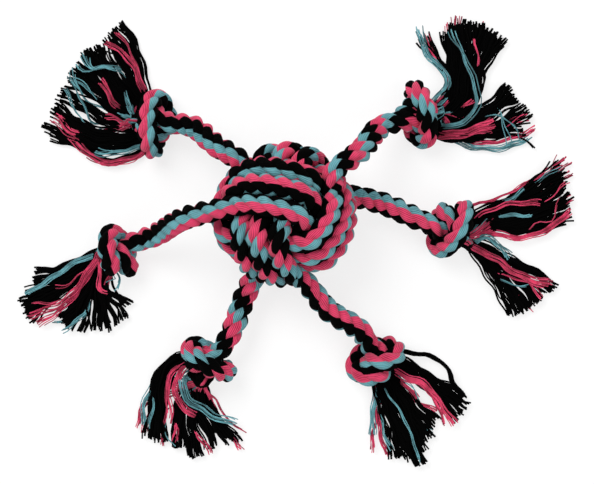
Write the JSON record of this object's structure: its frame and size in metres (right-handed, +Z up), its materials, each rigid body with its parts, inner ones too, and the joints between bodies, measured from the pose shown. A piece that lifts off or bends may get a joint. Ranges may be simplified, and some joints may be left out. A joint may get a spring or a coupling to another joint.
{
  "type": "rope dog toy",
  "caption": "Cotton rope dog toy: a ball tied as a monkey's fist, with rope legs that each end in an overhand knot and an open tassel.",
  "frame": {"origin": "on the floor, in the middle of the toy's outline seen from above", "axes": "+Z up from the floor, +X and +Y to the right and to the top of the picture, which looks straight down"},
  "size_m": [0.4012, 0.3176, 0.0955],
  "materials": {
    "cotton_pink": "matt cotton yarn",
    "cotton_black": "matt cotton yarn",
    "cotton_teal": "matt cotton yarn",
    "core_rubber": "matt"
  },
  "bodies": {
    "ball": {"core_ball": "core_rubber", "rope_a_winding": "cotton_pink", "rope_b_winding": "cotton_pink", "rope_c_winding": "cotton_pink"},
    "leg_1": {"leg_1_rope": "cotton_black", "leg_1_knot": "cotton_pink"},
    "leg_1_tassel": {"leg_1_tassel_strand_1": "cotton_pink", "leg_1_tassel_strand_2": "cotton_black", "leg_1_tassel_strand_3": "cotton_teal"},
    "leg_2": {"leg_2_rope": "cotton_black", "leg_2_knot": "cotton_pink"},
    "leg_2_tassel": {"leg_2_tassel_strand_1": "cotton_pink", "leg_2_tassel_strand_2": "cotton_black", "leg_2_tassel_strand_3": "cotton_teal"},
    "leg_3": {"leg_3_rope": "cotton_black", "leg_3_knot": "cotton_pink"},
    "leg_3_tassel": {"leg_3_tassel_strand_1": "cotton_pink", "leg_3_tassel_strand_2": "cotton_black", "leg_3_tassel_strand_3": "cotton_teal"},
    "leg_4": {"leg_4_rope": "cotton_black", "leg_4_knot": "cotton_pink"},
    "leg_4_tassel": {"leg_4_tassel_strand_1": "cotton_pink", "leg_4_tassel_strand_2": "cotton_black", "leg_4_tassel_strand_3": "cotton_teal"},
    "leg_5": {"leg_5_rope": "cotton_black", "leg_5_knot": "cotton_pink"},
    "leg_5_tassel": {"leg_5_tassel_strand_1": "cotton_pink", "leg_5_tassel_strand_2": "cotton_black", "leg_5_tassel_strand_3": "cotton_teal"},
    "leg_6": {"leg_6_rope": "cotton_black", "leg_6_knot": "cotton_pink"},
    "leg_6_tassel": {"leg_6_tassel_strand_1": "cotton_pink", "leg_6_tassel_strand_2": "cotton_black", "leg_6_tassel_strand_3": "cotton_teal"}
  },
  "joints": [
    {"name": "leg_1_lift", "type": "hinge", "parent": "ball", "child": "leg_1", "pos_m": [-0.04906, 0.06772, 0.04549], "axis": [0.5359, 0.8443, 0], "range_deg": [-15, 60]},
    {"name": "leg_1_tassel_flop", "type": "hinge", "parent": "leg_1", "child": "leg_1_tassel", "pos_m": [-0.116, 0.08785, 0.0145], "axis": [0.3638, 0.9315, 0], "range_deg": [-45, 45]},
    {"name": "leg_2_lift", "type": "hinge", "parent": "ball", "child": "leg_2", "pos_m": [0.04272, 0.06104, 0.06207], "axis": [0.6585, -0.7526, 0], "range_deg": [-15, 60]},
    {"name": "leg_2_tassel_flop", "type": "hinge", "parent": "leg_2", "child": "leg_2_tassel", "pos_m": [0.11044, 0.09562, 0.0149], "axis": [0.6905, -0.7234, 0], "range_deg": [-45, 45]},
    {"name": "leg_3_lift", "type": "hinge", "parent": "ball", "child": "leg_3", "pos_m": [0.05476, 0.03223, 0.02482], "axis": [-0.3807, -0.9247, 0], "range_deg": [-15, 60]},
    {"name": "leg_3_tassel_flop", "type": "hinge", "parent": "leg_3", "child": "leg_3_tassel", "pos_m": [0.12805, 0.00159, 0.01446], "axis": [-0.0116, -0.9999, 0], "range_deg": [-45, 45]},
    {"name": "leg_4_lift", "type": "hinge", "parent": "ball", "child": "leg_4", "pos_m": [0.02082, -0.03901, 0.04123], "axis": [-0.6347, -0.7728, 0], "range_deg": [-15, 60]},
    {"name": "leg_4_tassel_flop", "type": "hinge", "parent": "leg_4", "child": "leg_4_tassel", "pos_m": [0.06429, -0.08983, 0.00143], "axis": [-0.8124, -0.5831, 0], "range_deg": [-45, 45]},
    {"name": "leg_5_lift", "type": "hinge", "parent": "ball", "child": "leg_5", "pos_m": [-0.03107, -0.03192, 0.02055], "axis": [-0.9268, 0.3756, 0], "range_deg": [-15, 60]},
    {"name": "leg_5_tassel_flop", "type": "hinge", "parent": "leg_5", "child": "leg_5_tassel", "pos_m": [-0.06584, -0.09928, 0.02121], "axis": [-0.9816, 0.1908, 0], "range_deg": [-45, 45]},
    {"name": "leg_6_lift", "type": "hinge", "parent": "ball", "child": "leg_6", "pos_m": [-0.06278, 0.02178, 0.06859], "axis": [-0.3819, 0.9242, 0], "range_deg": [-15, 60]},
    {"name": "leg_6_tassel_flop", "type": "hinge", "parent": "leg_6", "child": "leg_6_tassel", "pos_m": [-0.13983, -0.0057, 0.0108], "axis": [-0.7547, 0.6561, 0], "range_deg": [-45, 45]}
  ]
}
